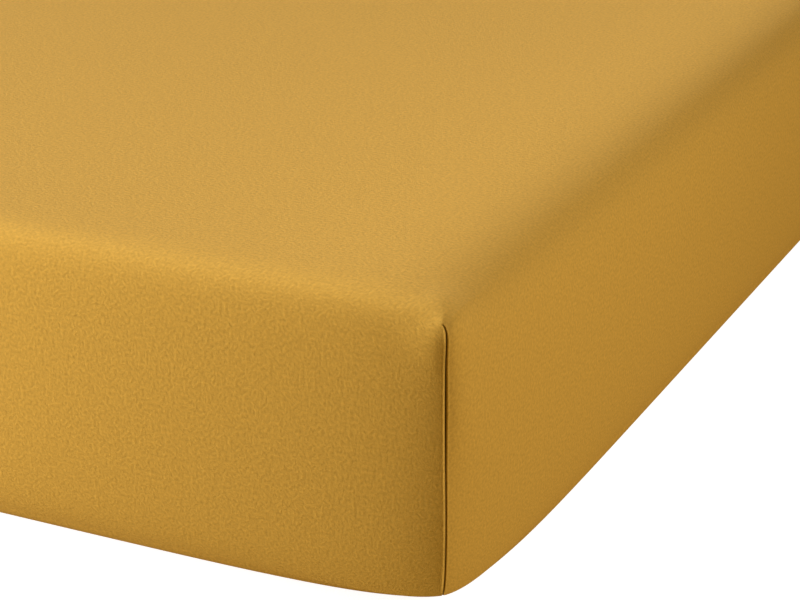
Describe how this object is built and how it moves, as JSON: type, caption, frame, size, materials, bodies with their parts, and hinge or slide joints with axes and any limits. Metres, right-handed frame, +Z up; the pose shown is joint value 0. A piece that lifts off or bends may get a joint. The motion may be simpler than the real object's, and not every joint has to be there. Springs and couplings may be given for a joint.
{
  "type": "fitted sheet on a mattress",
  "caption": "Smooth fitted bed sheet with sewn corner darts, drawn over a plain single mattress and turned under to an elastic hem.",
  "frame": {"origin": "middle of the underside, on the surface that the mattress lies on", "axes": "+Z up; +Y along the mattress's length, away from the pictured end; +X across its width"},
  "size_m": [0.9, 1.9992, 0.25],
  "materials": {
    "sheet_cotton": "matt, finely woven, dyed mustard yellow",
    "mattress_ticking": "matt, plain woven, off-white"
  },
  "bodies": {
    "root": {"fitted_sheet": "sheet_cotton", "mattress": "mattress_ticking"}
  },
  "joints": []
}
